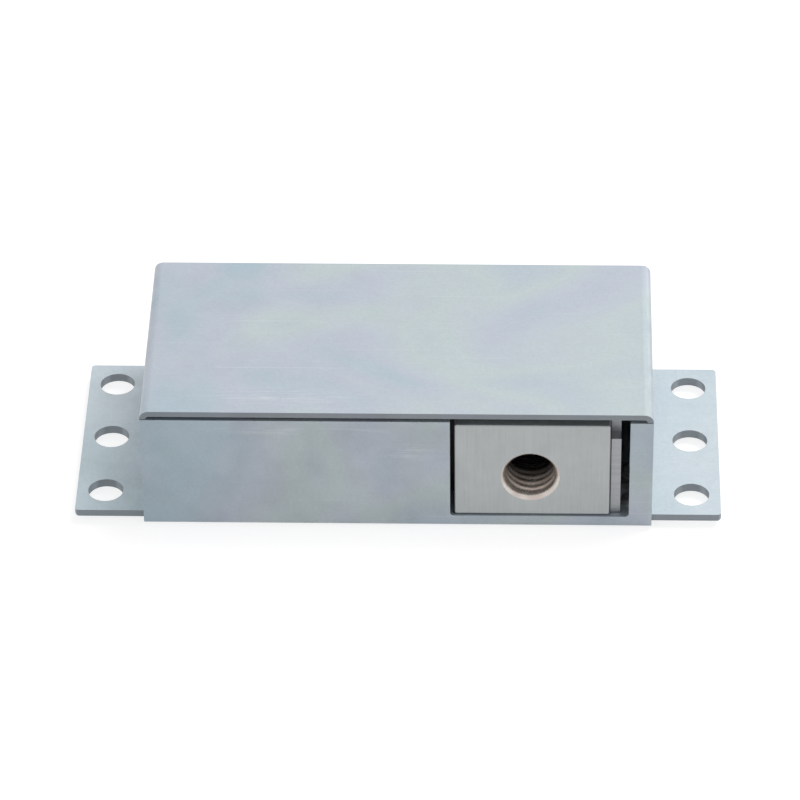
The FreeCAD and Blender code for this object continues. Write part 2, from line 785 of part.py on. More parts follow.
def make_carriage():
    """The folded slide under the solenoid, with its spring tab and the arm that the key pulls."""
    body = new_body("slide")
    levels = ("carriage_low", CARRIAGE_TOP)
    floor = ("carriage_left", "carriage_right", "carriage_front", "carriage_back")
    pad(body, "XY_Plane", *levels, draw_rectangle, *floor)
    tab = (
        "return_place - tab_width / 2",
        "return_place + tab_width / 2",
        "carriage_low",
        "tab_high",
    )
    walls = ("carriage_left", "carriage_left + carriage_wall")
    pad(body, "YZ_Plane", *walls, draw_rectangle, *tab)
    arm = ("arm_left", "arm_right")
    sides = ("carriage_front", "carriage_front + carriage_wall")
    pad(body, "XZ_Plane", *sides, draw_rectangle, *arm, "carriage_low", ARM_TOP)
    reach = ("key_place", "carriage_front + carriage_wall")
    pad(body, "XY_Plane", "arm_low", ARM_TOP, draw_rectangle, *arm, *reach)
    crest = "(key_place + crank_reach + crank_slot_play)"
    cross_slot = (
        (CRANK_ACROSS, f"({CRANK_PLACE}) - crank_slot_play"),
        (CRANK_ACROSS, crest),
        "crank_size + 2 * crank_slot_play",
    )
    pocket(body, "XY_Plane", "arm_low", ARM_TOP, draw_slot, *cross_slot)
    for across, place in RUNNERS:
        track = (
            (f"{across} - runner_spare", place),
            (f"{across} + {CRANK_STROKE} + runner_spare", place),
            "runner_size + 2 * runner_play",
        )
        pocket(body, "XY_Plane", *levels, draw_slot, *track)
    for across, place in YOKE_SCREWS:
        pocket(body, "XY_Plane", *levels, draw_circle, across, place, "screw_size")
    low = number_of("carriage_low")
    screw = number_of("screw_size")

    def hole_mouths(edge):
        return is_ring(edge, Vector(0, 0, 1), low, screw)

    dress(body, "Chamfer", "(screw_head - screw_size) / 2", hole_mouths)
    return keep(body, "carriage")


def make_yoke():
    """The solenoid's U-shaped iron frame."""
    body = new_body("yoke")
    top = "(case_height - cover_wall - yoke_room)"
    profile = [
        ("yoke_left", CARRIAGE_TOP),
        ("yoke_right", CARRIAGE_TOP),
        ("yoke_right", top),
        ("yoke_right - yoke_wall", top),
        ("yoke_right - yoke_wall", YOKE_FLOOR),
        ("yoke_left + yoke_wall", YOKE_FLOOR),
        ("yoke_left + yoke_wall", top),
        ("yoke_left", top),
    ]
    sides = ("pin_place - yoke_width / 2", "pin_place + yoke_width / 2")
    pad(body, "XZ_Plane", *sides, draw_outline, profile)
    floor = number_of(CARRIAGE_TOP)

    def bends(edge):
        return runs_along(edge, Vector(0, 1, 0)) and abs(edge.CenterOfMass.z - floor) < NEAR

    dress(body, "Fillet", "yoke_wall", bends)
    right = ("yoke_right - yoke_wall", "yoke_right")
    left = ("yoke_left", "yoke_left + yoke_wall")
    axis = ("pin_place", "pin_height")
    pocket(body, "YZ_Plane", *right, draw_circle, *axis, "plunger_size + 2 * pin_play")
    pocket(body, "YZ_Plane", *left, draw_circle, *axis, "pole_spigot")
    for across, place in YOKE_SCREWS:
        hole = (across, place, "screw_size")
        pocket(body, "XY_Plane", CARRIAGE_TOP, YOKE_FLOOR, draw_circle, *hole)
    return keep(body, "solenoid_yoke")


def make_yoke_screws():
    """Two countersunk screws that hold the yoke on the carriage from below."""
    taper = "(screw_head - screw_size) / 2"
    profile = [
        ("carriage_low", "0"),
        ("carriage_low", "screw_head / 2"),
        (f"carriage_low + {taper}", "screw_size / 2"),
        (YOKE_FLOOR, "screw_size / 2"),
        (YOKE_FLOOR, "0"),
    ]
    pieces = [turned("yoke_screw", "Z", *place, profile) for place in YOKE_SCREWS]
    return group("yoke_screws", pieces)


BOBBIN_LEFT = "(yoke_left + yoke_wall + bobbin_play)"
BOBBIN_RIGHT = "(yoke_right - yoke_wall - bobbin_play)"
COIL_LEFT = "(yoke_left + yoke_wall + bobbin_play + bobbin_flange_wall)"
COIL_RIGHT = "(yoke_right - yoke_wall - bobbin_play - bobbin_flange_wall)"
POLE_FACE = "(yoke_left + yoke_wall + pole_length)"
SHOULDER = "(pin_tip - pin_length)"


def make_bobbin():
    bore = "(plunger_size / 2 + plunger_play)"
    flange = "bobbin_flange / 2"
    tube = "bobbin_tube / 2"
    profile = [
        (BOBBIN_LEFT, bore),
        (BOBBIN_LEFT, flange),
        (COIL_LEFT, flange),
        (COIL_LEFT, tube),
        (COIL_RIGHT, tube),
        (COIL_RIGHT, flange),
        (BOBBIN_RIGHT, flange),
        (BOBBIN_RIGHT, bore),
    ]
    return keep(turned("spool", "X", "pin_place", "pin_height", profile), "bobbin")


def make_coil():
    profile = [
        (COIL_LEFT, "bobbin_tube / 2"),
        (COIL_LEFT, "coil_size / 2"),
        (COIL_RIGHT, "coil_size / 2"),
        (COIL_RIGHT, "bobbin_tube / 2"),
    ]
    return keep(turned("winding", "X", "pin_place", "pin_height", profile), "coil_winding")


def make_pole():
    """The fixed iron core, riveted in the yoke's back wall."""
    spigot = "pole_spigot / 2"
    profile = [
        ("yoke_left - pole_head", "0"),
        ("yoke_left - pole_head", "plunger_size / 2"),
        ("yoke_left", "plunger_size / 2"),
        ("yoke_left", spigot),
        ("yoke_left + yoke_wall", spigot),
        ("yoke_left + yoke_wall", "plunger_size / 2"),
        (POLE_FACE, "plunger_size / 2"),
        (POLE_FACE, "0"),
    ]
    return keep(turned("core", "X", "pin_place", "pin_height", profile), "pole_piece")


def make_plunger():
    """The moving iron core: bored for the pin's shank and grooved for the clip."""
    full = "plunger_size / 2"
    seat = "clip_seat / 2"
    bore = "pin_shank_size / 2"
    profile = [
        (f"{POLE_FACE} + air_gap", "0"),
        (f"{POLE_FACE} + air_gap", full),
        ("clip_place", full),
        ("clip_place", seat),
        ("clip_place + clip_wall", seat),
        (SHOULDER, seat),
        (SHOULDER, bore),
        (f"{SHOULDER} - pin_shank", bore),
        (f"{SHOULDER} - pin_shank", "0"),
    ]
    return keep(turned("core_rod", "X", "pin_place", "pin_height", profile), "plunger")


def make_locking_pin():
    """The hardened pin on the plunger, which enters the bolt's notches."""
    full = "pin_size / 2"
    shank = "pin_shank_size / 2"
    profile = [
        (f"{SHOULDER} - pin_shank", "0"),
        (f"{SHOULDER} - pin_shank", shank),
        (SHOULDER, shank),
        (SHOULDER, full),
        ("pin_tip - pin_nose", full),
        ("pin_tip", f"{full} - pin_nose"),
        ("pin_tip", "0"),
    ]
    return keep(turned("hard_pin", "X", "pin_place", "pin_height", profile), "locking_pin")


def make_clip():
    """The open ring in the plunger's groove that the plunger's spring pushes on."""
    body = new_body("ring")
    walls = ("clip_place", "clip_place + clip_wall")
    axis = ("pin_place", "pin_height")
    pad(body, "YZ_Plane", *walls, draw_circle, *axis, "clip_size")
    pocket(body, "YZ_Plane", *walls, draw_circle, *axis, "clip_seat")
    mouth = (
        "pin_place - clip_mouth / 2",
        "pin_place + clip_mouth / 2",
        "pin_height - clip_size",
        "pin_height",
    )
    pocket(body, "YZ_Plane", *walls, draw_rectangle, *mouth)
    return keep(body, "retaining_clip")


def coil_spring(name, start, end, place, level, size, wire, turns):
    """A compression spring along X between two faces, its wire drawn with few flat sides.

    Its line is half turns, each an arc in a plane tilted about the coil's diameter, which
    meet with one tangent. A whole number of half turns fits the length between the faces.
    """
    wire_radius = number_of(wire) / 2
    radius = number_of(size) / 2 - wire_radius
    first = number_of(start) + wire_radius
    last = number_of(end) - wire_radius
    half_turns = round(2 * number_of(turns))
    step = (last - first) / half_turns
    bulge = math.hypot(radius, step / 2)
    centre = Vector(0, number_of(place), number_of(level))
    arcs = []
    for i in range(half_turns):
        side = 1 if i % 2 == 0 else -1
        begin = centre + Vector(first + i * step, side * radius, 0)
        crest = centre + Vector(first + (i + 0.5) * step, 0, side * bulge)
        finish = centre + Vector(first + (i + 1) * step, -side * radius, 0)
        arcs.append(Part.Arc(begin, crest, finish).toShape())
    path = Part.Wire(arcs)
    origin = arcs[0].Vertexes[0].Point
    corners = []
    for i in range(WIRE_SIDES + 1):
        angle = 2 * math.pi * (i + 0.5) / WIRE_SIDES
        corner = Vector(math.cos(angle), math.sin(angle), 0) * wire_radius
        corners.append(origin + corner)
    section = Part.makePolygon(corners)
    feature = doc.addObject("Part::Feature", name)
    feature.Shape = path.makePipeShell([section], True, False)
    return feature


def make_springs():
    plunger = coil_spring(
        "spring_small",
        "yoke_right",
        "clip_place",
        "pin_place",
        "pin_height",
        "plunger_spring_size",
        "plunger_spring_wire",
        "plunger_spring_turns",
    )
    keep(plunger, "plunger_spring")
    back = coil_spring(
        "spring_large",
        "bracket_left + bracket_wall",
        "carriage_left",
        "return_place",
        "return_height",
        "return_spring_size",
        "return_wire",
        "return_turns",
    )
    keep(back, "return_spring")


def make_bracket():
    """The angle that the return spring pushes off, with a foot on the plate."""
    body = new_body("angle")
    profile = [
        ("bracket_left", PLATE_TOP),
        ("bracket_left + bracket_wall + bracket_foot", PLATE_TOP),
        ("bracket_left + bracket_wall + bracket_foot", f"{PLATE_TOP} + bracket_wall"),
        ("bracket_left + bracket_wall", f"{PLATE_TOP} + bracket_wall"),
        ("bracket_left + bracket_wall", "bracket_high"),
        ("bracket_left", "bracket_high"),
    ]
    sides = ("return_place - tab_width / 2", "return_place + tab_width / 2")
    pad(body, "XZ_Plane", *sides, draw_outline, profile)
    walls = ("bracket_left", "bracket_left + bracket_wall")
    pocket(
        body, "YZ_Plane", *walls, draw_circle, "return_place", "return_height", "rivet_size"
    )
    levels = (PLATE_TOP, f"{PLATE_TOP} + bracket_wall")
    for across, place in BRACKET_RIVETS:
        pocket(body, "XY_Plane", *levels, draw_circle, across, place, "rivet_size")
    return keep(body, "spring_bracket")


def make_stud():
    """The stud that keeps the return spring straight."""
    wall = "bracket_left + bracket_wall"
    profile = [
        ("bracket_left", "0"),
        ("bracket_left", "rivet_size / 2"),
        (wall, "rivet_size / 2"),
        (wall, "return_stud_size / 2"),
        (f"{wall} + return_stud_length", "return_stud_size / 2"),
        (f"{wall} + return_stud_length", "0"),
    ]
    return keep(turned("stud", "X", "return_place", "return_height", profile), "spring_stud")


def make_housing():
    """The key cylinder's housing, screwed to the plate by two ears."""
    bore = "barrel_size / 2 + barrel_play"
    profile = [
        (PLATE_TOP, bore),
        (PLATE_TOP, "housing_size / 2"),
        (HOUSING_TOP, "housing_size / 2"),
        (HOUSING_TOP, bore),
    ]
    body = turned("key_case", "Z", "key_across", "key_place", profile)
    ear_top = f"({PLATE_TOP} + housing_ear_wall)"
    ring = "(housing_size / 2 + barrel_size / 2 + 2 * barrel_play) / 2"
    for side in SIDES:
        ear = (
            (f"key_across + {side} * {ring}", "key_place"),
            (f"key_across + {side} * housing_ear_reach", "key_place"),
        )
        ends = ear[::side]
        pad(body, "XY_Plane", PLATE_TOP, ear_top, draw_slot, *ends, "housing_ear_size")
        hole = (*ear[1], "screw_size")
        pocket(body, "XY_Plane", PLATE_TOP, ear_top, draw_circle, *hole)
    centre = ("key_across", "key_place", "barrel_size + 2 * barrel_play")
    pocket(body, "XY_Plane", PLATE_TOP, ear_top, draw_circle, *centre)
    return keep(body, "key_housing")


def make_housing_screws():
    low = f"({PLATE_TOP} + housing_ear_wall)"
    profile = [
        ("tray_wall", "0"),
        ("tray_wall", "screw_size / 2"),
        (low, "screw_size / 2"),
        (low, "screw_head / 2"),
        (f"{low} + screw_head_wall", "screw_head / 2"),
        (f"{low} + screw_head_wall", "0"),
    ]
    pieces = [turned("housing_screw", "Z", *place, profile) for place in HOUSING_SCREWS]
    return group("housing_screws", pieces)


def make_barrel():
    """The barrel that the key turns: face in the tray, rim under the housing, square tang."""
    rim_top = f"({PLATE_TOP} - barrel_gap)"
    rim_low = "(tray_wall + barrel_gap)"
    profile = [
        ("barrel_gap", "0"),
        ("barrel_gap", "barrel_face / 2"),
        (rim_low, "barrel_face / 2"),
        (rim_low, "barrel_rim / 2"),
        (rim_top, "barrel_rim / 2"),
        (rim_top, "barrel_size / 2"),
        (CAM_LOW, "barrel_size / 2"),
        (CAM_LOW, "0"),
    ]
    body = turned("key_plug", "Z", "key_across", "key_place", profile)
    square = (
        "key_across - tang_size / 2",
        "key_across + tang_size / 2",
        "key_place - tang_size / 2",
        "key_place + tang_size / 2",
    )
    pad(body, "XY_Plane", CAM_LOW, CAM_TOP, draw_rectangle, *square)
    levels = ("barrel_gap", "barrel_gap + keyway_depth")
    gate = (
        "key_across - keyway_width / 2",
        "key_across + keyway_width / 2",
        "key_place - keyway_gap / 2",
        "key_place + keyway_gap / 2",
    )
    pocket(body, "XY_Plane", *levels, draw_rectangle, *gate)
    centre = ("key_across", "key_place")
    pocket(body, "XY_Plane", *levels, draw_circle, *centre, "keyway_bore")
    screw = (f"{CAM_LOW} - cam_wall", CAM_TOP)
    pocket(body, "XY_Plane", *screw, draw_circle, *centre, "screw_size")
    return keep(body, "key_barrel")


def make_cam():
    """The disc on the barrel's tang that carries the crank pin."""
    profile = [
        (CAM_LOW, "0"),
        (CAM_LOW, "cam_size / 2"),
        (CAM_TOP, "cam_size / 2"),
        (CAM_TOP, "0"),
    ]
    body = turned("disc", "Z", "key_across", "key_place", profile)
    square = (
        "key_across - tang_size / 2",
        "key_across + tang_size / 2",
        "key_place - tang_size / 2",
        "key_place + tang_size / 2",
    )
    pocket(body, "XY_Plane", CAM_LOW, CAM_TOP, draw_rectangle, *square)
    hole = (CRANK_ACROSS, CRANK_PLACE, "crank_size")
    pocket(body, "XY_Plane", CAM_LOW, CAM_TOP, draw_circle, *hole)
    return keep(body, "crank_disc")


def make_crank_pin():
    top = f"({ARM_TOP} + crank_above)"
    profile = [
        (CAM_LOW, "0"),
        (CAM_LOW, "crank_size / 2"),
        (top, "crank_size / 2"),
        (top, "0"),
    ]
    return keep(turned("crank", "Z", CRANK_ACROSS, CRANK_PLACE, profile), "crank_pin")


def make_cam_screw():
    profile = [
        (f"{CAM_LOW} - cam_wall", "0"),
        (f"{CAM_LOW} - cam_wall", "screw_size / 2"),
        (CAM_TOP, "screw_size / 2"),
        (CAM_TOP, "screw_head / 2"),
        (f"{CAM_TOP} + screw_head_wall", "screw_head / 2"),
        (f"{CAM_TOP} + screw_head_wall", "0"),
    ]
    return keep(turned("disc_fixing", "Z", "key_across", "key_place", profile), "disc_screw")


def make_board():
    body = new_body("board")
    outline = ("board_left", "board_right", "board_front", "board_back")
    levels = ("board_low", BOARD_TOP)
    pad(body, "XY_Plane", *levels, draw_rectangle, *outline)
    for across, place in BOARD_POSTS:
        pocket(body, "XY_Plane", *levels, draw_circle, across, place, "rivet_size")
    return keep(body, "circuit_board")


def make_board_posts():
    """Posts riveted in the plate, whose upper ends are peened over the board."""
    pieces = []
    for place in BOARD_POSTS:
        profile = [
            ("tray_wall", "0"),
            ("tray_wall", "rivet_size / 2"),
            (PLATE_TOP, "rivet_size / 2"),
            (PLATE_TOP, "post_size / 2"),
            ("board_low", "post_size / 2"),
            ("board_low", "rivet_size / 2"),
            (BOARD_TOP, "rivet_size / 2"),
            (BOARD_TOP, "post_size / 2"),
            (f"{BOARD_TOP} + rivet_head_wall", "post_size / 2"),
            (f"{BOARD_TOP} + rivet_head_wall", "0"),
        ]
        pieces.append(turned("board_post", "Z", *place, profile))
    return group("board_posts", pieces)


SOCKET_LEFT = "(socket_inset - case_length / 2)"


def make_socket():
    """The cable socket on the board, whose mouth fills the opening in the left flange."""
    body = new_body("jack")
    right = f"({SOCKET_LEFT} + socket_length)"
    outline = (
        "socket_place - socket_width / 2",
        "socket_place + socket_width / 2",
        BOARD_TOP,
        f"{BOARD_TOP} + socket_rise",
    )
    pad(body, "YZ_Plane", SOCKET_LEFT, right, draw_rectangle, *outline)
    mouth = (
        "socket_place - socket_width / 2 + socket_wall",
        "socket_place + socket_width / 2 - socket_wall",
        f"{BOARD_TOP} + socket_wall",
        f"{BOARD_TOP} + socket_rise - socket_wall",
    )
    depth = (SOCKET_LEFT, f"{SOCKET_LEFT} + socket_mouth")
    pocket(body, "YZ_Plane", *depth, draw_rectangle, *mouth)
    return keep(body, "cable_socket")


def make_contacts():
    """Four flat contacts on the socket's floor."""
    low = f"({BOARD_TOP} + socket_wall)"
    pieces = []
    for index in range(CONTACTS):
        body = new_body("contact")
        middle = f"(socket_place + {index - (CONTACTS - 1) / 2} * contact_pitch)"
        strip = (
            f"{middle} - contact_size / 2",
            f"{middle} + contact_size / 2",
            low,
            f"{low} + contact_size",
        )
        depth = (f"{SOCKET_LEFT} + socket_wall", f"{SOCKET_LEFT} + socket_mouth")
        pad(body, "YZ_Plane", *depth, draw_rectangle, *strip)
        pieces.append(body)
    return group("socket_contacts", pieces)


def make_chip():
    body = new_body("chip")
    right = "(board_right - chip_inset)"
    middle = "(board_front + board_back) / 2"
    outline = (
        f"{right} - chip_width",
        right,
        f"{middle} - chip_length / 2",
        f"{middle} + chip_length / 2",
    )
    pad(body, "XY_Plane", BOARD_TOP, f"{BOARD_TOP} + chip_rise", draw_rectangle, *outline)
    return keep(body, "driver_chip")


def make_cover_screws():
    """Four countersunk screws through the flanges into the tray's lugs."""
    taper = "(screw_head - screw_size) / 2"
    pieces = []
    for side, place in COVER_SCREWS:
        steps = [
            ("0", "0"),
            ("0", "screw_head / 2"),
            (taper, "screw_size / 2"),
            ("cover_screw_length", "screw_size / 2"),
            ("cover_screw_length", "0"),
        ]
        profile = [
            (f"{side} * ({HALF_LENGTH} - ({inwards}))", radius) for inwards, radius in steps
        ]
        pieces.append(turned("cover_screw", "X", place, "cover_screw_height", profile))
    return group("cover_screws", pieces)


make_tray()
make_plate()
make_cover()
make_bolt()
make_guide(-1, "left_guide")
make_guide(1, "right_guide")
make_plate_rivets()
make_guide_rivets()
make_bracket_rivets()
make_stop_pin()
make_runners()
make_carriage()
make_yoke()
make_yoke_screws()
make_bobbin()
make_coil()
make_pole()
make_plunger()
make_locking_pin()
make_clip()
make_springs()
make_bracket()
make_stud()
make_housing()
make_housing_screws()
make_barrel()
make_cam()
make_crank_pin()
make_cam_screw()
make_board()
make_board_posts()
make_socket()
make_contacts()
make_chip()
make_cover_screws()
doc.recompute()

for item in doc.Objects:
    if {"Invalid", "Error"} & set(item.State):
        raise RuntimeError(f"{item.Name} failed: {item.State}")
for piece in SUB_PARTS:
    if piece.Shape.isNull() or not piece.Shape.isValid():
        raise RuntimeError(f"{piece.Label} has no valid shape")

os.makedirs("parts", exist_ok=True)
for piece in SUB_PARTS:
    piece.Shape.exportStep(f"parts/{piece.Label}.step")
print(len(SUB_PARTS), "sub-parts written")
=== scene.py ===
"""Looks of a safe's solenoid lock: zinc-plated sheet metal case with a square bolt in its window."""
import json
import math

import bmesh
import bpy
from mathutils import Matrix, Vector


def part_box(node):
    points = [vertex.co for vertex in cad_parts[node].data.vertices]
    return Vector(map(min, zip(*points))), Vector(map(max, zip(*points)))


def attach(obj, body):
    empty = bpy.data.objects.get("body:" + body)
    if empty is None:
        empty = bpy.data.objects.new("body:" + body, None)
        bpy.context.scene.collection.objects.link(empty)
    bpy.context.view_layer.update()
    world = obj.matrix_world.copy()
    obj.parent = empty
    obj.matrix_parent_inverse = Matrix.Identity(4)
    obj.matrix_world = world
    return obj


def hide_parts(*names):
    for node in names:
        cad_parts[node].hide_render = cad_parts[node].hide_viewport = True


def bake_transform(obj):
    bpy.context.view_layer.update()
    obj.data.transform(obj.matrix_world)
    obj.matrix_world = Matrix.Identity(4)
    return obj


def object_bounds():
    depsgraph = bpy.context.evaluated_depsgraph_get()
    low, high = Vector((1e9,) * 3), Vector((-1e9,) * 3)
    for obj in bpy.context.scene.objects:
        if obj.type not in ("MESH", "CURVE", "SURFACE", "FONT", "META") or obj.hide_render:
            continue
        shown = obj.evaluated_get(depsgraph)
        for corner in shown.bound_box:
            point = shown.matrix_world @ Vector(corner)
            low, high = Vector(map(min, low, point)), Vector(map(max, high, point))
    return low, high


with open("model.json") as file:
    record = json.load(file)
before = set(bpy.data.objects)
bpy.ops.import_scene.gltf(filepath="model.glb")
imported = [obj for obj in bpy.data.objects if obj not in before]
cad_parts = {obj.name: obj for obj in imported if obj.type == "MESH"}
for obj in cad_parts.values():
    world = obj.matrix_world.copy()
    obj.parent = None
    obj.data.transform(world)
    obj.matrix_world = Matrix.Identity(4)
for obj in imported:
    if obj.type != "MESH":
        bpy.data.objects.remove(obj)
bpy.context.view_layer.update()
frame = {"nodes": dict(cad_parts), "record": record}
NODES = frame["nodes"]
MM = 0.001
WHITE = (1, 1, 1, 1)
ACROSS = 0
DEPTH = 1

# camera: distance, aim and clipping in metres, lens and sensor in mm
ELEVATION = math.radians(37.0)
AZIMUTH = math.radians(1.8)
ROLL = math.radians(-0.66)
DISTANCE = 1.042
LENS = 235.0
SENSOR = 36.0
AIM = Vector((0.0, 0.0, 0.0125))
NEAREST = 0.01
FURTHEST = 20.0

# lamps: name, place and size in metres, watts
LAMPS = (
    ("overhead", (0.35, 0.25, 0.85), (0.5, 0.5), 4.7),
    ("right_back", (0.72, 0.8, 0.22), (0.4, 0.6), 0.6),
)

# room and floor: strength of the room's light and of what is seen of it, lengths in metres
ROOM_LIGHT = 0.46
ROOM_SEEN = 1.0
FLOOR_HALF_SIZE = 4.0
FLOOR_GAP = 0.0002
FLOOR_COLOUR = (0.4, 0.4, 0.4, 1)
FLOOR_GLOW = 0.78

# noises: scale in waves per metre, or 1 on a stretched place, detail, roughness, distortion
PATCHES = (26.0, 2.0, 0.45, 0.6)
STAINS = (140.0, 4.0, 0.6)
GRAIN = (1600.0, 3.0, 0.6)
SCRATCHES = (1.0, 3.0, 0.7)
SCUFF_AND_HIGHLIGHT_ARCS = (1.0, 2.0, 0.6, 1.2)
TOOL_MARKS = (1.0, 4.0, 0.65)
STEEL_CLOUD = (180.0, 3.0, 0.55)
THREAD_MARKS = (420.0, 2.0, 0.5)
PLASTIC_CLOUD = (120.0, 2.0, 0.5)

# noise of plastic, whose scale each plastic has: detail, roughness
PLASTIC_GRAIN = (3.0, 0.6)

# stretched places: waves per metre along each axis
SCUFF_AND_HIGHLIGHT_GRAIN = (90.0, 1400.0, 1400.0)
ALONG_X = (20.0, 1100.0, 1100.0)
ALONG_Y = (1100.0, 20.0, 1100.0)
ALONG_Z = (1100.0, 1100.0, 20.0)
FINE_Z = (2600.0, 2600.0, 120.0)
WINDINGS = (1100.0, 90.0, 90.0)

# how a pattern is used: its lowest and highest value, and what each becomes, if not a colour
STAIN_SHADE = (0.35, 0.72, 1.03, 0.93)
GRAIN_SHADE = (0.3, 0.7, 0.96, 1.04)
SCRATCH_LINES = (0.62, 0.74, 0.0, 1.0)
SCUFF_AND_HIGHLIGHT_FADE = (0.2, 1.0, 1.0, 0.0)
SCUFF_AND_HIGHLIGHT_LINES = (0.5, 0.62, 0.0, 0.4)
SHEARED_FACE = (0.6, 0.9, 0.0, 0.75)
TONE_STOPS = (0.3, 0.7)
STEEL_SHADE = (0.3, 0.7, 0.94, 1.05)
PLASTIC_SHADE = (0.3, 0.7, 0.88, 1.12)

# the same for gloss, where they are added to the finish's roughness
ZINC_GLOSS = (0.3, 0.75, -0.04, 0.12)
STEEL_GLOSS = (0.25, 0.75, -0.05, 0.09)
THREAD_GLOSS = (0.3, 0.7, 0.0, 0.1)
PLASTIC_GLOSS = (0.3, 0.7, -0.05, 0.08)
SCRATCH_GLOSS = 0.06

# relief: strength, and height in metres
GRAIN_RELIEF = (0.1, 0.00002)
SCRATCH_RELIEF = (0.12, 0.00002)
TOOL_RELIEF = (0.15, 0.00002)
THREAD_RELIEF = (0.05, 0.00003)
PLASTIC_RELIEF = (0.2, 0.00003)

# sockets of a mix node, which has several of the same names
MIX_SHARE = 0
MIX_FIRST = 6
MIX_SECOND = 7
MIX_COLOUR = 2

# zinc plating
ZINC_METAL = 0.45
SCRATCH_SHARE = 0.22
SCRATCH_COLOUR = (0.8, 0.83, 0.86, 1)
SCUFF_AND_HIGHLIGHT_COLOUR = (0.72, 0.75, 0.79, 1)
SHEARED_COLOUR = (0.2, 0.22, 0.245, 1)
SHEET_TINTS = (
    (0.30, (0.43, 0.53, 0.595)),
    (0.42, (0.50, 0.545, 0.62)),
    (0.53, (0.515, 0.59, 0.605)),
    (0.68, (0.465, 0.53, 0.605)),
)
PLATE_TINTS = (
    (0.30, (0.49, 0.59, 0.63)),
    (0.48, (0.54, 0.62, 0.67)),
    (0.70, (0.57, 0.64, 0.68)),
)

# worn spots, and on the front wall a painted highlight along its upper rim: centre and radii in mm
ROOF_SCUFFS = (((-22.0, -19.5, 28.0), (20.0, 3.5, 2.0)),)
FRONT_SCUFFS_AND_RIM_HIGHLIGHT = (
    ((3.0, -25.0, 18.6), (8.0, 2.0, 2.6)),
    # painted highlight: a lighter streaked band on the left part of the front wall, just under its
    # upper rim, standing in for light on that edge
    ((-20.0, -25.0, 23.6), (26.0, 2.0, 1.2)),
)

# steel of the thread, with the depths in mm between which painted shade darkens it further in the hole
THREAD_TINTS = ((0.35, (0.70, 0.61, 0.56)), (0.65, (0.82, 0.76, 0.71)))
THREAD_METAL = 0.6
THREAD_ROUGHNESS = 0.2
PAINTED_SHADE_START = 3.5
PAINTED_SHADE_FULL = 9.0
PAINTED_SHADE_LEVEL = 0.05

# thread in the bolt's hole, in mm
THREAD_ACROSS = 26.1
THREAD_HEIGHT = 12.5
THREAD_RADIUS = 5.1
THREAD_CREST = 0.34
THREAD_BACKING = 0.15
MOUTH_RADIUS = 5.77
MOUTH_DEPTH = 0.03
THREAD_PITCH = 1.75
THREAD_LENGTH = 17.5
THREAD_LEAD = 0.72
PROUD = 0.02
THREAD_SEGMENTS = 72
STEPS_A_TURN = 10
FLANK_SLOPE = 1.5
GROOVE_SHARE = 0.25

# countersunk screws of the cover, in mm: height over the head's face, radius
SCREW_PROFILE = (
    (0.0, 0.0),
    (0.0, 2.45),
    (-0.12, 2.58),
    (-1.1, 1.5),
    (-4.5, 1.5),
    (-4.5, 0.0),
)
SCREW_SEGMENTS = 48
RECESS_ARM = 1.45
RECESS_HALF_WIDTH = 0.42
RECESS_OVER = 0.2
RECESS_DEPTH = 1.3
RECESS_TAPER = 0.45
SCREW_SPINS = (0.35, 1.1, 0.8, 0.1)


def add_object(name, mesh):
    """Puts a mesh in the scene as an object of that name."""
    piece = bpy.data.objects.new(name, mesh)
    bpy.context.scene.collection.objects.link(piece)
    return piece


def mesh_of(name, make, *rest):
    """A mesh that a function builds."""
    build = bmesh.new()
    make(build, *rest)
    mesh = bpy.data.meshes.new(name)
    build.to_mesh(mesh)
    build.free()
    return mesh


def make_camera():
    """The photograph's camera, which looks down on the front with a small roll."""
    across = math.sin(AZIMUTH) * math.cos(ELEVATION)
    depth = -math.cos(AZIMUTH) * math.cos(ELEVATION)
    back = Vector((across, depth, math.sin(ELEVATION)))
    right = (-back).cross(Vector((0, 0, 1))).normalized()
    up = back.cross(right)
    turned_right = right * math.cos(ROLL) + up * math.sin(ROLL)
    turned_up = up * math.cos(ROLL) - right * math.sin(ROLL)
    axes = Matrix((turned_right, turned_up, back)).transposed().to_4x4()
    data = bpy.data.cameras.new("camera")
    data.lens = LENS
    data.sensor_width = SENSOR
    data.clip_start = NEAREST
    data.clip_end = FURTHEST
    camera = bpy.data.objects.new("camera", data)
    camera.matrix_world = Matrix.Translation(AIM + back * DISTANCE) @ axes
    bpy.context.scene.collection.objects.link(camera)
    bpy.context.scene.camera = camera


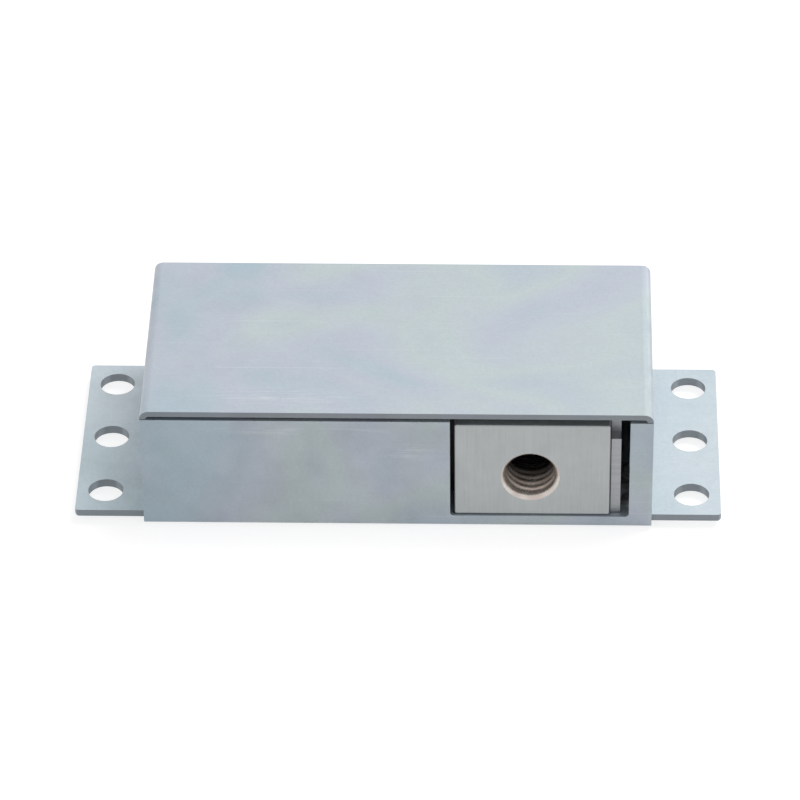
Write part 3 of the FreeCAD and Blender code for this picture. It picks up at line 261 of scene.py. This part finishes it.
class Nodes:
    """A material's or world's node tree, with short ways to add and join nodes."""

    def __init__(self, owner):
        owner.use_nodes = True
        self.tree = owner.node_tree
        self.tree.nodes.clear()

    def add(self, kind, **settings):
        node = self.tree.nodes.new(kind)
        for name, value in settings.items():
            setattr(node, name, value)
        return node

    def put(self, value, socket):
        """Joins a socket to another, or sets the socket's own value."""
        if isinstance(value, bpy.types.NodeSocket):
            self.tree.links.new(value, socket)
        else:
            socket.default_value = value

    def math(self, operation, first, second=0.0):
        node = self.add("ShaderNodeMath", operation=operation)
        self.put(first, node.inputs[0])
        self.put(second, node.inputs[1])
        return node.outputs[0]

    def vector(self, operation, first, second=(0, 0, 0)):
        node = self.add("ShaderNodeVectorMath", operation=operation)
        self.put(first, node.inputs[0])
        self.put(second, node.inputs[1])
        return node.outputs["Value" if operation == "LENGTH" else "Vector"]

    def noise(self, place, scale, detail=2.0, roughness=0.5, distortion=0.0):
        node = self.add("ShaderNodeTexNoise")
        self.put(place, node.inputs["Vector"])
        self.put(scale, node.inputs["Scale"])
        self.put(detail, node.inputs["Detail"])
        self.put(roughness, node.inputs["Roughness"])
        self.put(distortion, node.inputs["Distortion"])
        return node.outputs["Fac"]

    def part(self, vector, number):
        """One part of a vector, such as the one across."""
        split = self.add("ShaderNodeSeparateXYZ")
        self.put(vector, split.inputs[0])
        return split.outputs[number]

    def stretched(self, place, factors):
        node = self.add("ShaderNodeMapping", vector_type="POINT")
        self.put(place, node.inputs["Vector"])
        self.put(factors, node.inputs["Scale"])
        return node.outputs["Vector"]

    def ramp(self, value, stops):
        node = self.add("ShaderNodeValToRGB")
        elements = node.color_ramp.elements
        while len(elements) < len(stops):
            elements.new(1.0)
        for element, (position, colour) in zip(elements, stops):
            element.position = position
            element.color = (*colour, 1)
        self.put(value, node.inputs["Fac"])
        return node.outputs["Color"]

    def spread(self, value, low, high, least, most):
        """Maps low..high of a value to least..most, clamped."""
        node = self.add("ShaderNodeMapRange")
        for number, given in enumerate((value, low, high, least, most)):
            self.put(given, node.inputs[number])
        return node.outputs[0]

    def mix(self, share, first, second, blend="MIX"):
        node = self.add("ShaderNodeMix", data_type="RGBA", blend_type=blend)
        self.put(share, node.inputs[MIX_SHARE])
        self.put(first, node.inputs[MIX_FIRST])
        self.put(second, node.inputs[MIX_SECOND])
        return node.outputs[MIX_COLOUR]

    def shaded(self, colour, shade):
        """A colour times a shade."""
        return self.mix(1.0, colour, shade, "MULTIPLY")

    def bump(self, height, strength, distance, normal=None):
        node = self.add("ShaderNodeBump")
        self.put(strength, node.inputs["Strength"])
        self.put(distance, node.inputs["Distance"])
        self.put(height, node.inputs["Height"])
        if normal is not None:
            self.put(normal, node.inputs["Normal"])
        return node.outputs["Normal"]


def start_material(name):
    """A new material with its shader, and the place on the object that its patterns use."""
    material = bpy.data.materials.new(name)
    nodes = Nodes(material)
    shader = nodes.add("ShaderNodeBsdfPrincipled")
    output = nodes.add("ShaderNodeOutputMaterial")
    nodes.put(shader.outputs[0], output.inputs["Surface"])
    place = nodes.add("ShaderNodeTexCoord").outputs["Object"]
    return material, nodes, shader, place


def gloss(nodes, pattern, rough, use):
    """Roughness that varies about the finish's own with a pattern."""
    low, high, least, most = use
    return nodes.spread(pattern, low, high, rough + least, rough + most)


def scuff_and_highlight_spot(nodes, place, centre, radii):
    """1 at the centre of a spot on the object, in mm, which fades to 0 at its radii; the spots are
    worn spots and a painted highlight.
    """
    away = nodes.vector("SUBTRACT", place, Vector(centre) * MM)
    share = nodes.vector("DIVIDE", away, Vector(radii) * MM)
    return nodes.spread(nodes.vector("LENGTH", share), *SCUFF_AND_HIGHLIGHT_FADE)


def zinc(name, tints, rough, streaks, cut_axes=(), scuffs_and_highlights=()):
    """Zinc plating: pale patches of slightly different blue, lilac and green, and fine scratches.

    Faces across one of the cut axes are sheared edges, which are duller.
    """
    material, nodes, shader, place = start_material(name)
    colour = nodes.ramp(nodes.noise(place, *PATCHES), tints)
    stains = nodes.noise(place, *STAINS)
    colour = nodes.shaded(colour, nodes.spread(stains, *STAIN_SHADE))
    grain = nodes.noise(place, *GRAIN)
    colour = nodes.shaded(colour, nodes.spread(grain, *GRAIN_SHADE))
    lines = nodes.noise(nodes.stretched(place, streaks), *SCRATCHES)
    scratch = nodes.spread(lines, *SCRATCH_LINES)
    colour = nodes.mix(nodes.math("MULTIPLY", scratch, SCRATCH_SHARE), colour, SCRATCH_COLOUR)
    # worn spots, and on the tray a painted highlight under the front wall's upper rim, mixed in a
    # lighter colour
    for centre, radii in scuffs_and_highlights:
        arcs = nodes.noise(nodes.stretched(place, SCUFF_AND_HIGHLIGHT_GRAIN), *SCUFF_AND_HIGHLIGHT_ARCS)
        arcs = nodes.spread(arcs, *SCUFF_AND_HIGHLIGHT_LINES)
        worn_and_lit = nodes.math("MULTIPLY", scuff_and_highlight_spot(nodes, place, centre, radii), arcs)
        colour = nodes.mix(worn_and_lit, colour, SCUFF_AND_HIGHLIGHT_COLOUR)
    for axis in cut_axes:
        normal = nodes.add("ShaderNodeTexCoord").outputs["Normal"]
        facing = nodes.math("ABSOLUTE", nodes.part(normal, axis))
        colour = nodes.mix(nodes.spread(facing, *SHEARED_FACE), colour, SHEARED_COLOUR)
    nodes.put(colour, shader.inputs["Base Color"])
    shader.inputs["Metallic"].default_value = ZINC_METAL
    polish = nodes.math("MULTIPLY", scratch, SCRATCH_GLOSS)
    rough = nodes.math("SUBTRACT", gloss(nodes, stains, rough, ZINC_GLOSS), polish)
    nodes.put(rough, shader.inputs["Roughness"])
    relief = nodes.bump(grain, *GRAIN_RELIEF)
    relief = nodes.bump(lines, *SCRATCH_RELIEF, relief)
    nodes.put(relief, shader.inputs["Normal"])
    return material


def steel(name, colour, rough, streaks, metal=0.8, wear=0.12):
    """Machined or ground steel with fine tool marks along one direction."""
    material, nodes, shader, place = start_material(name)
    marks = nodes.noise(nodes.stretched(place, streaks), *TOOL_MARKS)
    cloud = nodes.noise(place, *STEEL_CLOUD)
    dark = tuple(c * (1 - wear) for c in colour)
    light = tuple(min(1.0, c * (1 + wear)) for c in colour)
    tone = nodes.ramp(marks, tuple(zip(TONE_STOPS, (dark, light))))
    shade = nodes.spread(cloud, *STEEL_SHADE)
    nodes.put(nodes.shaded(tone, shade), shader.inputs["Base Color"])
    shader.inputs["Metallic"].default_value = metal
    nodes.put(gloss(nodes, cloud, rough, STEEL_GLOSS), shader.inputs["Roughness"])
    nodes.put(nodes.bump(marks, *TOOL_RELIEF), shader.inputs["Normal"])
    return material


def thread_steel(face):
    """Warm cut steel of the thread, with painted shade that darkens it further in behind the bolt's
    face.
    """
    material, nodes, shader, place = start_material("thread_steel")
    marks = nodes.noise(place, *THREAD_MARKS)
    tone = nodes.ramp(marks, THREAD_TINTS)
    start = face + PAINTED_SHADE_START * MM
    full = face + PAINTED_SHADE_FULL * MM
    # painted shade: darker deeper in the hole, where little light gets in
    painted_depth_shade = nodes.spread(nodes.part(place, DEPTH), start, full, 1.0, PAINTED_SHADE_LEVEL)
    nodes.put(nodes.shaded(tone, painted_depth_shade), shader.inputs["Base Color"])
    shader.inputs["Metallic"].default_value = THREAD_METAL
    nodes.put(gloss(nodes, marks, THREAD_ROUGHNESS, THREAD_GLOSS), shader.inputs["Roughness"])
    nodes.put(nodes.bump(marks, *THREAD_RELIEF), shader.inputs["Normal"])
    return material


def plastic(name, colour, rough, grain_scale):
    """Moulded plastic or lacquer with a fine grain."""
    material, nodes, shader, place = start_material(name)
    grain = nodes.noise(place, grain_scale, *PLASTIC_GRAIN)
    cloud = nodes.noise(place, *PLASTIC_CLOUD)
    shade = nodes.spread(cloud, *PLASTIC_SHADE)
    nodes.put(nodes.shaded((*colour, 1), shade), shader.inputs["Base Color"])
    nodes.put(gloss(nodes, cloud, rough, PLASTIC_GLOSS), shader.inputs["Roughness"])
    nodes.put(nodes.bump(grain, *PLASTIC_RELIEF), shader.inputs["Normal"])
    return material


def make_materials():
    """The materials of the record's slots, and of the thread and three nodes, which have their own."""
    return {
        "zinc_sheet": zinc("zinc_sheet", SHEET_TINTS, 0.36, ALONG_X),
        "cover": zinc("zinc_cover", SHEET_TINTS, 0.36, ALONG_X, (DEPTH,), ROOF_SCUFFS),
        "case_tray": zinc("zinc_tray", SHEET_TINTS, 0.36, ALONG_X, (ACROSS,), FRONT_SCUFFS_AND_RIM_HIGHLIGHT),
        "zinc_plate": zinc("zinc_plate", PLATE_TINTS, 0.42, ALONG_Y, (ACROSS, DEPTH)),
        "satin_steel": steel("satin_steel", (0.48, 0.505, 0.51), 0.34, FINE_Z, 0.6, 0.05),
        "thread_steel": thread_steel(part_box("bolt")[0].y),
        "dark_steel": steel("dark_steel", (0.36, 0.37, 0.385), 0.42, ALONG_X),
        "left_guide": steel("black_steel", (0.06, 0.065, 0.07), 0.5, ALONG_X, 0.5),
        "rivet_steel": steel("rivet_steel", (0.55, 0.57, 0.59), 0.38, ALONG_Z, 0.75),
        "screw_steel": steel("screw_steel", (0.52, 0.55, 0.58), 0.34, ALONG_Y, 0.8),
        "spring_steel": steel("spring_steel", (0.38, 0.38, 0.39), 0.3, ALONG_X, 0.9),
        "brass": steel("brass", (0.62, 0.47, 0.2), 0.3, ALONG_Z, 0.95),
        "copper_wire": steel("copper_wire", (0.55, 0.24, 0.11), 0.3, WINDINGS, 0.6),
        "black_plastic": plastic("black_plastic", (0.02, 0.021, 0.023), 0.45, 1500.0),
        "board_green": plastic("board_green", (0.012, 0.11, 0.055), 0.35, 900.0),
    }


def dress_frame(materials):
    """Gives every node of the frame its own material, or else that of its slot in the record."""
    for part in frame["record"]["subparts"]:
        name = part["node"]
        mesh = NODES[name].data
        mesh.materials.clear()
        mesh.materials.append(materials.get(name, materials[part["material_slot"]]))


def background_share(nodes):
    """1 for what the camera sees, directly or in metal and glass, and 0 for light on the object."""
    path = nodes.add("ShaderNodeLightPath").outputs
    seen = nodes.math("MAXIMUM", path["Is Camera Ray"], path["Is Glossy Ray"])
    return nodes.math("MAXIMUM", seen, path["Is Transmission Ray"])


def floor_grid(build):
    """One square face."""
    bmesh.ops.create_grid(build, x_segments=1, y_segments=1, size=FLOOR_HALF_SIZE)


def make_floor():
    """A white floor that shows as white to the camera and in the metal, and keeps the shadow."""
    floor = add_object("floor", mesh_of("floor", floor_grid))
    floor.location.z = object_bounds()[0][2] - FLOOR_GAP
    material = bpy.data.materials.new("floor")
    nodes = Nodes(material)
    seen = background_share(nodes)
    diffuse = nodes.add("ShaderNodeBsdfDiffuse")
    diffuse.inputs["Color"].default_value = FLOOR_COLOUR
    glow = nodes.add("ShaderNodeEmission")
    glow.inputs["Color"].default_value = WHITE
    nodes.put(nodes.math("MULTIPLY", seen, FLOOR_GLOW), glow.inputs["Strength"])
    both = nodes.add("ShaderNodeAddShader")
    nodes.put(diffuse.outputs[0], both.inputs[0])
    nodes.put(glow.outputs[0], both.inputs[1])
    output = nodes.add("ShaderNodeOutputMaterial")
    nodes.put(both.outputs[0], output.inputs["Surface"])
    floor.data.materials.append(material)


def make_world():
    """An even pale room that is white where the camera sees it."""
    world = bpy.data.worlds.new("world")
    bpy.context.scene.world = world
    nodes = Nodes(world)
    background = nodes.add("ShaderNodeBackground")
    background.inputs["Color"].default_value = WHITE
    strength = nodes.spread(background_share(nodes), 0.0, 1.0, ROOM_LIGHT, ROOM_SEEN)
    nodes.put(strength, background.inputs["Strength"])
    output = nodes.add("ShaderNodeOutputWorld")
    nodes.put(background.outputs[0], output.inputs["Surface"])


def make_lamp(name, place, size, power):
    """A soft rectangular lamp that faces the object."""
    data = bpy.data.lights.new(name, "AREA")
    data.shape = "RECTANGLE"
    data.size, data.size_y = size
    data.energy = power
    lamp = bpy.data.objects.new(name, data)
    lamp.location = place
    lamp.rotation_euler = (Vector(place) - AIM).to_track_quat("Z", "Y").to_euler()
    bpy.context.scene.collection.objects.link(lamp)


def thread_height(turn):
    """The thread's height at a share of a turn, 0 in the groove and 1 on the crest."""
    share = abs(2 * (turn % 1.0) - 1)
    return min(1.0, max(0.0, FLANK_SLOPE * share - GROOVE_SHARE))


def thread_point(build, face, depth, radius, share):
    """A vertex of the thread's sleeve, at a depth behind the bolt's face."""
    angle = 2 * math.pi * share
    across = THREAD_ACROSS + radius * math.cos(angle)
    height = THREAD_HEIGHT + radius * math.sin(angle)
    return build.verts.new(Vector((across, face + depth, height)) * MM)


def thread_sleeve(build, face):
    """The helical thread in the bolt's hole, as a closed sleeve whose back is in the steel."""
    rows = round(THREAD_LENGTH / THREAD_PITCH * STEPS_A_TURN)
    shares = [column / THREAD_SEGMENTS for column in range(THREAD_SEGMENTS)]
    mouth = MOUTH_RADIUS - PROUD
    rings = [[thread_point(build, face, MOUTH_DEPTH, mouth, share) for share in shares]]
    for row in range(rows + 1):
        depth = THREAD_LENGTH * row / rows
        fade = min(1.0, depth / THREAD_PITCH, (THREAD_LENGTH - depth) / THREAD_PITCH)
        ring = []
        for share in shares:
            height = thread_height(depth / THREAD_PITCH + share) * fade
            radius = THREAD_RADIUS - PROUD - THREAD_CREST * height
            ring.append(thread_point(build, face, THREAD_LEAD + depth, radius, share))
        rings.append(ring)
    hidden = ((THREAD_LEAD + THREAD_LENGTH, THREAD_RADIUS), (MOUTH_DEPTH, MOUTH_RADIUS))
    for depth, radius in hidden:
        radius += THREAD_BACKING
        rings.append([thread_point(build, face, depth, radius, share) for share in shares])
    for ring, following in zip(rings, rings[1:] + rings[:1]):
        for column in range(THREAD_SEGMENTS):
            beside = (column + 1) % THREAD_SEGMENTS
            build.faces.new((ring[column], ring[beside], following[beside], following[column]))
    bmesh.ops.recalc_face_normals(build, faces=build.faces)


def make_thread(materials):
    """Puts the thread in the bolt, with which it moves."""
    mesh = mesh_of("bolt_thread", thread_sleeve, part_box("bolt")[0].y / MM)
    mesh.materials.append(materials["thread_steel"])
    mesh.shade_smooth()
    thread = add_object("bolt_thread", mesh)
    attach(thread, "bolt")


def lathe(build, profile, segments):
    """A closed surface turned about Z, whose profile starts and ends on the axis."""
    first = build.verts.new((0, 0, profile[0][0]))
    last = build.verts.new((0, 0, profile[-1][0]))
    rings = []
    for height, radius in profile[1:-1]:
        ring = []
        for index in range(segments):
            angle = 2 * math.pi * index / segments
            ring.append(build.verts.new((radius * math.cos(angle), radius * math.sin(angle), height)))
        rings.append(ring)
    for index in range(segments):
        beside = (index + 1) % segments
        build.faces.new((first, rings[0][index], rings[0][beside]))
        build.faces.new((last, rings[-1][beside], rings[-1][index]))
        for ring, following in zip(rings, rings[1:]):
            build.faces.new((ring[index], following[index], following[beside], ring[beside]))
    bmesh.ops.recalc_face_normals(build, faces=build.faces)


def cross_cutter(build):
    """A cross that tapers down into the head, to be cut from it."""
    arm, half = RECESS_ARM, RECESS_HALF_WIDTH
    quarter = ((arm, -half), (arm, half), (half, half))
    outline = []
    for turn in range(4):
        spin = Matrix.Rotation(turn * math.pi / 2, 2)
        outline.extend(spin @ Vector(point) for point in quarter)
    levels = ((RECESS_OVER, 1.0), (-RECESS_DEPTH, RECESS_TAPER))
    rings = [[build.verts.new((*(p * share), height)) for p in outline] for height, share in levels]
    build.faces.new(rings[0])
    build.faces.new(rings[1][::-1])
    for index in range(len(outline)):
        beside = (index + 1) % len(outline)
        build.faces.new((rings[0][index], rings[1][index], rings[1][beside], rings[0][beside]))
    bmesh.ops.recalc_face_normals(build, faces=build.faces)


def cross_head_screw():
    """One countersunk screw with a cross recess, upright, in mm."""
    blank = add_object("screw_blank", mesh_of("screw_blank", lathe, SCREW_PROFILE, SCREW_SEGMENTS))
    cutter = add_object("screw_cutter", mesh_of("screw_cutter", cross_cutter))
    cut = blank.modifiers.new("recess", "BOOLEAN")
    cut.object = cutter
    cut.operation = "DIFFERENCE"
    cut.solver = "EXACT"
    graph = bpy.context.evaluated_depsgraph_get()
    screw = bpy.data.meshes.new_from_object(blank.evaluated_get(graph))
    for temporary in (blank, cutter):
        bpy.data.objects.remove(temporary)
    return screw


def four_screws(build, screw):
    """Copies of a screw at the places of the frame's plain ones."""
    low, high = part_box("cover_screws")
    height = (low.z + high.z) / 2
    inset = (high.z - low.z) / 2
    spins = iter(SCREW_SPINS)
    for side in (-1, 1):
        face = high.x if side > 0 else low.x
        for place in (low.y + inset, high.y - inset):
            upright = Matrix.Rotation(side * math.pi / 2, 4, "Y")
            spin = Matrix.Rotation(next(spins), 4, "Z")
            matrix = Matrix.Translation((face, place, height)) @ upright @ spin @ Matrix.Scale(MM, 4)
            first = len(build.verts)
            build.from_mesh(screw)
            build.verts.ensure_lookup_table()
            bmesh.ops.transform(build, matrix=matrix, verts=build.verts[first:])


def make_cover_screws(materials):
    """Four countersunk cross-head screws in place of the frame's plain ones."""
    mesh = mesh_of("flange_screws", four_screws, cross_head_screw())
    mesh.materials.append(materials["screw_steel"])
    screws = add_object("flange_screws", mesh)
    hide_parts("cover_screws")
    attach(screws, "case")


def make_spring(name, node):
    """A copy of a spring node in place of the frame's own, which is hidden."""
    piece = add_object(name, NODES[node].data.copy())
    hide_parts(node)
    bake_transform(piece)


make_camera()
materials = make_materials()
dress_frame(materials)
make_thread(materials)
make_cover_screws(materials)
make_spring("carriage_coil", "return_spring")
make_spring("plunger_coil", "plunger_spring")
make_floor()
make_world()
for lamp in LAMPS:
    make_lamp(*lamp)

bpy.context.scene.view_settings.view_transform = "Standard"
